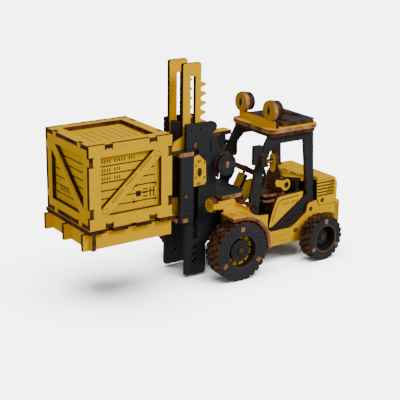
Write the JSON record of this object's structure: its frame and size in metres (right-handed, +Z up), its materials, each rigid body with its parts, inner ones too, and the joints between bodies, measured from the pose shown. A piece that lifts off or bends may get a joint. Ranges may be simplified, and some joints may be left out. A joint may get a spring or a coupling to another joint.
{
  "type": "toy forklift",
  "caption": "Wooden puzzle forklift of slotted plywood sheets: racked mast and forks carrying a pallet with a braced crate, open cab with roof lamps, steered rear axle",
  "frame": {"origin": "centre of the bounding box's footprint, on the floor the wheels stand on", "axes": "+X forward towards the forks, +Y to the driver's left, +Z up"},
  "size_m": [0.217, 0.0782, 0.1476],
  "materials": {
    "yellow_ply": "printed yellow birch plywood with burnt brown edges",
    "black_ply": "printed black birch plywood with burnt brown edges",
    "natural_ply": "natural birch plywood, laser-browned"
  },
  "bodies": {
    "chassis": {"armrest": "yellow_ply", "cab_frame_left": "black_ply", "cab_frame_right": "black_ply", "counterweight": "yellow_ply", "cowl_trims": "yellow_ply", "cross_walls": "black_ply", "door_panels": "yellow_ply", "driver_seat": "natural_ply", "engine_cover": "yellow_ply", "engine_sides": "yellow_ply", "fender_left": "yellow_ply", "fender_right": "yellow_ply", "floor_plate": "black_ply", "front_axle": "natural_ply", "headlights": "yellow_ply", "hood_top": "black_ply", "lamp_bar": "yellow_ply", "mast_cross_beam": "black_ply", "mast_plate_left": "black_ply", "mast_plate_right": "black_ply", "mast_top_brace": "yellow_ply", "mirror_brackets": "black_ply", "rear_axle_beam": "natural_ply", "roof_brim": "yellow_ply", "roof_lamps": "yellow_ply", "roof_lining": "natural_ply", "roof_panel": "black_ply", "side_frame_left": "yellow_ply", "side_frame_right": "yellow_ply", "steering_column": "yellow_ply"},
    "carriage": {"rail_left": "yellow_ply", "rail_right": "yellow_ply", "carriage_cheeks": "black_ply", "carriage_shelves": "black_ply", "slider_plates": "yellow_ply", "carriage_dowel": "natural_ply"},
    "lift_drive": {"lift_knob": "black_ply", "lift_pinion": "natural_ply"},
    "pallet": {"pallet_deck": "yellow_ply", "pallet_runners": "yellow_ply"},
    "crate": {"crate_base": "yellow_ply", "crate_front_panel": "yellow_ply", "crate_left_panel": "yellow_ply", "crate_lid": "yellow_ply", "crate_planks": "yellow_ply", "crate_rear_panel": "yellow_ply", "crate_right_panel": "yellow_ply"},
    "steering_wheel": {"steering_wheel": "natural_ply"},
    "mirror_left": {"mirror_left": "yellow_ply"},
    "mirror_right": {"mirror_right": "yellow_ply"},
    "front_wheel_left": {"front_tyre_left": "black_ply", "front_rim_left": "yellow_ply"},
    "front_wheel_right": {"front_tyre_right": "black_ply", "front_rim_right": "yellow_ply"},
    "rear_knuckle_left": {"rear_knuckle_left": "black_ply"},
    "rear_knuckle_right": {"rear_knuckle_right": "black_ply"},
    "rear_wheel_left": {"rear_tyre_left": "black_ply", "rear_rim_left": "black_ply"},
    "rear_wheel_right": {"rear_tyre_right": "black_ply", "rear_rim_right": "black_ply"}
  },
  "joints": [
    {"name": "lift", "type": "slide", "parent": "chassis", "child": "carriage", "axis": [0, 0, 1], "range_m": [-0.038, 0.01]},
    {"name": "lift_knob_turn", "type": "hinge", "parent": "chassis", "child": "lift_drive", "pos_m": [-0.004, 0, 0.0789], "axis": [0, 1, 0], "range_deg": [-53, 197]},
    {"name": "pallet_slide", "type": "slide", "parent": "carriage", "child": "pallet", "axis": [1, 0, 0], "range_m": [0, 0.055]},
    {"name": "crate_lift", "type": "slide", "parent": "pallet", "child": "crate", "axis": [0, 0, 1], "range_m": [0, 0.03]},
    {"name": "steering_wheel_turn", "type": "hinge", "parent": "chassis", "child": "steering_wheel", "pos_m": [-0.036, 0, 0.0656], "axis": [-0.4695, 0, 0.8829], "continuous": true},
    {"name": "mirror_left_fold", "type": "hinge", "parent": "chassis", "child": "mirror_left", "pos_m": [-0.0347, 0.0242, 0.077], "axis": [0, 0, 1], "range_deg": [-60, 0]},
    {"name": "mirror_right_fold", "type": "hinge", "parent": "chassis", "child": "mirror_right", "pos_m": [-0.0347, -0.0242, 0.077], "axis": [0, 0, 1], "range_deg": [0, 60]},
    {"name": "front_wheel_left_roll", "type": "hinge", "parent": "chassis", "child": "front_wheel_left", "pos_m": [-0.0069, 0.0315, 0.021], "axis": [0, 1, 0], "continuous": true},
    {"name": "front_wheel_right_roll", "type": "hinge", "parent": "chassis", "child": "front_wheel_right", "pos_m": [-0.0069, -0.0315, 0.021], "axis": [0, 1, 0], "continuous": true},
    {"name": "rear_steer_left", "type": "hinge", "parent": "chassis", "child": "rear_knuckle_left", "pos_m": [-0.08, 0.021, 0.0162], "axis": [0, 0, 1], "range_deg": [-16, 8]},
    {"name": "rear_steer_right", "type": "hinge", "parent": "chassis", "child": "rear_knuckle_right", "pos_m": [-0.08, -0.021, 0.0162], "axis": [0, 0, 1], "range_deg": [-16, 8]},
    {"name": "rear_wheel_left_roll", "type": "hinge", "parent": "rear_knuckle_left", "child": "rear_wheel_left", "pos_m": [-0.0807, 0.03098, 0.0162], "axis": [-0.0698, 0.9976, 0], "continuous": true},
    {"name": "rear_wheel_right_roll", "type": "hinge", "parent": "rear_knuckle_right", "child": "rear_wheel_right", "pos_m": [-0.0793, -0.03098, 0.0162], "axis": [-0.0698, 0.9976, 0], "continuous": true}
  ],
  "couplings": [
    {"joint": "lift_knob_turn", "follows": "lift", "rad_per_m": -89.953},
    {"joint": "rear_steer_right", "follows": "rear_steer_left", "ratio": 1}
  ]
}
